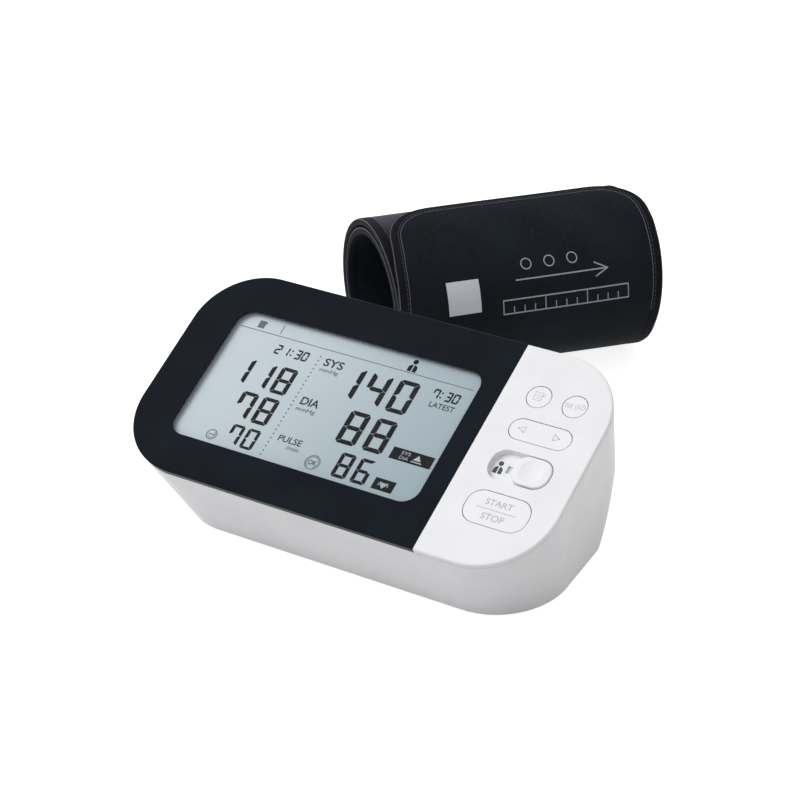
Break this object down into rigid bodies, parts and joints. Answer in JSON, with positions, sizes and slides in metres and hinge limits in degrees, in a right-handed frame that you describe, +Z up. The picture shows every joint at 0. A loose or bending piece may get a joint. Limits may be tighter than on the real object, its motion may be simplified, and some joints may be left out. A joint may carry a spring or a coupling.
{
  "type": "upper arm blood pressure monitor",
  "caption": "Wedge shaped table unit with a sloping dark display, flush keys, a user slide and side jack, and its pre-formed arm cuff rolled up behind it.",
  "frame": {"origin": "bottom centre of the whole object's bounding box, on the table", "axes": "+Z up; -Y towards the user, the front edge of the unit's face; +X to the unit's right, where its keys are"},
  "size_m": [0.2134, 0.3146, 0.0848],
  "materials": {
    "white_plastic": "fine satin moulded surface",
    "key_plastic": "satin",
    "dark_panel": "polished",
    "clear_window": "clear acrylic",
    "liquid_crystal": "pale blue grey, satin",
    "inner_plastic": "moulded",
    "black_plastic": "moulded",
    "sensor_plastic": "moulded",
    "jack_plastic": "moulded",
    "grey_rubber": "soft",
    "dark_rubber": "soft",
    "tube_rubber": "silicone",
    "bladder_rubber": "thin sheet",
    "curler_sheet": "springy sheet",
    "circuit_board": "green solder mask",
    "shield_steel": "tinned",
    "screw_steel": "zinc plated",
    "contact_steel": "nickel plated",
    "motor_steel": "plated can",
    "battery_jacket": "plain wrapped jacket",
    "cuff_cloth": "knitted loop cloth, near black navy",
    "cuff_edging": "woven binding",
    "hook_cloth": "moulded hooks on tape"
  },
  "bodies": {
    "base": {"lower_case": "white_plastic", "upper_case": "white_plastic", "display_bezel": "dark_panel", "display_window": "clear_window", "lcd_panel": "liquid_crystal", "lcd_holder": "inner_plastic", "lcd_connector": "dark_rubber", "slide_switch": "black_plastic", "key_mat": "grey_rubber", "main_board": "circuit_board", "board_chips": "black_plastic", "wireless_module": "shield_steel", "pressure_sensor": "sensor_plastic", "case_screws": "screw_steel", "board_screws": "screw_steel", "batteries": "battery_jacket", "battery_contacts": "contact_steel", "feet": "grey_rubber", "air_jack": "jack_plastic", "power_jack": "black_plastic", "pump_motor": "motor_steel", "pump_head": "inner_plastic", "pump_cushions": "dark_rubber", "air_manifold": "inner_plastic", "exhaust_valve": "black_plastic", "air_tubes": "tube_rubber"},
    "start_stop_button": {"start_stop_button": "key_plastic"},
    "memory_button": {"memory_button": "key_plastic"},
    "connect_button": {"connect_button": "key_plastic"},
    "scroll_button": {"scroll_button": "key_plastic"},
    "user_slide_knob": {"user_slide_knob": "key_plastic"},
    "battery_cover": {"battery_cover": "white_plastic"},
    "cuff": {"cuff_inner_cloth": "cuff_cloth", "cuff_bladder": "bladder_rubber", "cuff_curler": "curler_sheet", "cuff_outer_cloth": "cuff_cloth", "cuff_binding": "cuff_edging", "cuff_hook_patch": "hook_cloth", "cuff_hose_gland": "jack_plastic"}
  },
  "joints": [
    {"name": "start_stop_press", "type": "slide", "parent": "base", "child": "start_stop_button", "axis": [0, 0.503, -0.8643], "range_m": [0, 0.0008], "stiffness_N_per_m": 1500},
    {"name": "memory_press", "type": "slide", "parent": "base", "child": "memory_button", "axis": [0, 0.503, -0.8643], "range_m": [0, 0.0008], "stiffness_N_per_m": 1500},
    {"name": "connect_press", "type": "slide", "parent": "base", "child": "connect_button", "axis": [0, 0.503, -0.8643], "range_m": [0, 0.0008], "stiffness_N_per_m": 1500},
    {"name": "scroll_rock", "type": "hinge", "parent": "base", "child": "scroll_button", "pos_m": [0.0831, -0.10338, 0.06435], "axis": [0, 0.8643, 0.503], "range_deg": [-2.5, 2.5], "stiffness_Nm_per_rad": 0.3},
    {"name": "user_slide", "type": "slide", "parent": "base", "child": "user_slide_knob", "axis": [-1, 0, 0], "range_m": [0, 0.0098]},
    {"name": "battery_cover_hinge", "type": "hinge", "parent": "base", "child": "battery_cover", "pos_m": [0.0114, -0.13047, 0.0019], "axis": [-1, 0, 0], "range_deg": [0, 75]},
    {"name": "cuff_lift", "type": "slide", "parent": "base", "child": "cuff", "axis": [0, 0, 1], "range_m": [0, 0.15]}
  ]
}
